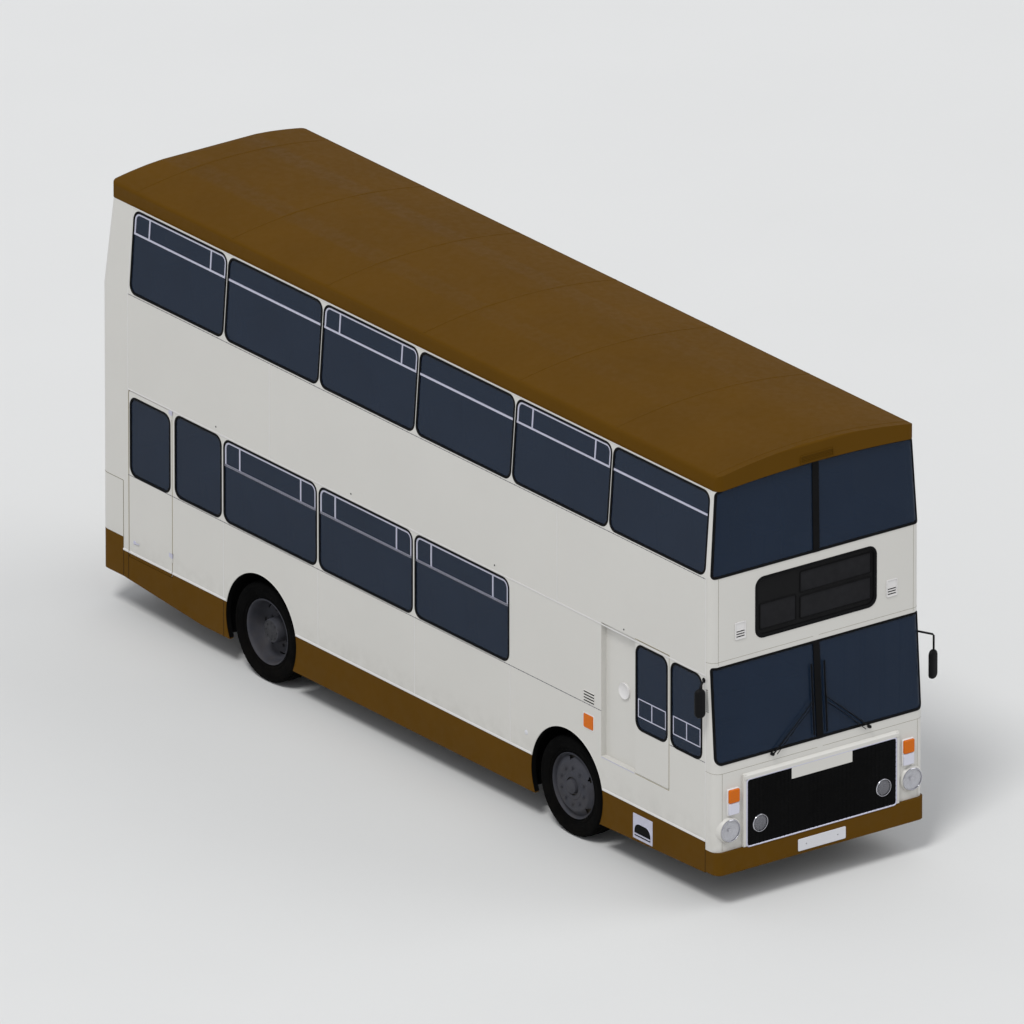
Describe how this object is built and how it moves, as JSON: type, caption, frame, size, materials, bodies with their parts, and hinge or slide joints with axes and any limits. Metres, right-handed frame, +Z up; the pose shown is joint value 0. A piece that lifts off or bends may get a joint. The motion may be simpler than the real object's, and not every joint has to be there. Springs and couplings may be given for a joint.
{
  "type": "double decker bus",
  "caption": "Front-engined double decker bus with a hollow two-deck body, rolling and steering wheels, folding entrance doors, sliding cab door and two emergency exits.",
  "frame": {"origin": "on the ground under the middle of the body's length and width", "axes": "+Z up; the front faces -Y; the offside (driver's side) is -X and the entrance is on +X"},
  "size_m": [2.8596, 9.99, 4.54],
  "materials": {
    "cream_paint": "semi-gloss enamel",
    "brown_paint": "semi-gloss enamel",
    "black_plastic": "matt",
    "dark_glass": "tinted",
    "lamp_lens": "gloss",
    "plate_white": "reflective",
    "floor_covering": "ribbed matt",
    "grey_plastic": "textured",
    "seat_cloth": "woven",
    "chassis_black": "satin",
    "engine_grey": "rough",
    "wheel_grey": "satin",
    "tyre_rubber": "matt"
  },
  "bodies": {
    "root": {"offside_lower_side": "cream_paint", "nearside_lower_side": "cream_paint", "offside_upper_side": "cream_paint", "nearside_upper_side": "cream_paint", "side_skirts": "brown_paint", "roof": "brown_paint", "front_moulding": "cream_paint", "front_lower_panel": "cream_paint", "radiator_grille": "black_plastic", "front_bumper": "brown_paint", "rear_panel": "cream_paint", "rear_bumper": "brown_paint", "windscreens": "dark_glass", "saloon_windows": "dark_glass", "destination_box": "black_plastic", "lamps": "lamp_lens", "number_plates": "plate_white", "mirrors": "black_plastic", "wipers": "black_plastic", "wheel_arches": "black_plastic", "lower_deck_floor": "floor_covering", "upper_deck_floor": "floor_covering", "staircase": "floor_covering", "cab_partition": "cream_paint", "cab_floor": "floor_covering", "engine_cover": "grey_plastic", "dashboard": "black_plastic", "steering_wheel": "black_plastic", "driver_seat": "seat_cloth", "lower_deck_seats": "seat_cloth", "upper_deck_seats": "seat_cloth", "chassis_frame": "chassis_black", "engine": "engine_grey", "propeller_shaft": "engine_grey", "front_axle_beam": "chassis_black", "rear_axle": "chassis_black", "leaf_springs": "chassis_black", "fuel_tank": "chassis_black", "exhaust": "engine_grey"},
    "offside_steer": {"offside_knuckle": "chassis_black"},
    "offside_front_wheel": {"offside_front_rim": "wheel_grey", "offside_front_tyre": "tyre_rubber"},
    "offside_rear_wheels": {"offside_rear_rims": "wheel_grey", "offside_rear_tyres": "tyre_rubber"},
    "nearside_steer": {"nearside_knuckle": "chassis_black"},
    "nearside_front_wheel": {"nearside_front_rim": "wheel_grey", "nearside_front_tyre": "tyre_rubber"},
    "nearside_rear_wheels": {"nearside_rear_rims": "wheel_grey", "nearside_rear_tyres": "tyre_rubber"},
    "cab_door": {"cab_door": "cream_paint"},
    "emergency_door": {"emergency_door": "cream_paint"},
    "rear_exit_window": {"rear_exit_window": "cream_paint"},
    "entrance_front_leaf": {"entrance_front_leaf": "black_plastic"},
    "entrance_front_fold": {"entrance_front_fold": "black_plastic"},
    "entrance_rear_leaf": {"entrance_rear_leaf": "black_plastic"},
    "entrance_rear_fold": {"entrance_rear_fold": "black_plastic"}
  },
  "joints": [
    {"name": "offside_steering", "type": "hinge", "parent": "root", "child": "offside_steer", "pos_m": [-0.9, -2.59, 0.51], "axis": [0, 0, 1], "range_deg": [-35, 35]},
    {"name": "offside_front_roll", "type": "hinge", "parent": "offside_steer", "child": "offside_front_wheel", "pos_m": [-1.075, -2.59, 0.51], "axis": [1, 0, 0], "continuous": true},
    {"name": "offside_rear_roll", "type": "hinge", "parent": "root", "child": "offside_rear_wheels", "pos_m": [-1.075, 2.363, 0.51], "axis": [1, 0, 0], "continuous": true},
    {"name": "nearside_steering", "type": "hinge", "parent": "root", "child": "nearside_steer", "pos_m": [0.9, -2.59, 0.51], "axis": [0, 0, 1], "range_deg": [-35, 35]},
    {"name": "nearside_front_roll", "type": "hinge", "parent": "nearside_steer", "child": "nearside_front_wheel", "pos_m": [1.075, -2.59, 0.51], "axis": [1, 0, 0], "continuous": true},
    {"name": "nearside_rear_roll", "type": "hinge", "parent": "root", "child": "nearside_rear_wheels", "pos_m": [1.075, 2.363, 0.51], "axis": [1, 0, 0], "continuous": true},
    {"name": "cab_door_slide", "type": "slide", "parent": "root", "child": "cab_door", "axis": [0, 1, 0], "range_m": [0, 0.52]},
    {"name": "emergency_door_hinge", "type": "hinge", "parent": "root", "child": "emergency_door", "pos_m": [-1.264, 3.8155, 1.5], "axis": [0, 0, 1], "range_deg": [0, 100]},
    {"name": "rear_exit_hinge", "type": "hinge", "parent": "root", "child": "rear_exit_window", "pos_m": [0, 4.9216, 4.2111], "axis": [1, 0, 0], "range_deg": [0, 60]},
    {"name": "entrance_front_hinge", "type": "hinge", "parent": "root", "child": "entrance_front_leaf", "pos_m": [1.244, -4.6, 1.3], "axis": [0, 0, 1], "range_deg": [0, 80]},
    {"name": "entrance_front_fold_hinge", "type": "hinge", "parent": "entrance_front_leaf", "child": "entrance_front_fold", "pos_m": [1.26, -4.3205, 1.3], "axis": [0, 0, 1], "range_deg": [-160, 0]},
    {"name": "entrance_rear_hinge", "type": "hinge", "parent": "root", "child": "entrance_rear_leaf", "pos_m": [1.244, -3.41, 1.3], "axis": [0, 0, -1], "range_deg": [0, 80]},
    {"name": "entrance_rear_fold_hinge", "type": "hinge", "parent": "entrance_rear_leaf", "child": "entrance_rear_fold", "pos_m": [1.26, -3.6895, 1.3], "axis": [0, 0, -1], "range_deg": [-160, 0]}
  ],
  "couplings": [
    {"joint": "nearside_steering", "follows": "offside_steering", "ratio": 1},
    {"joint": "entrance_front_fold_hinge", "follows": "entrance_front_hinge", "ratio": -2},
    {"joint": "entrance_rear_fold_hinge", "follows": "entrance_rear_hinge", "ratio": -2}
  ]
}
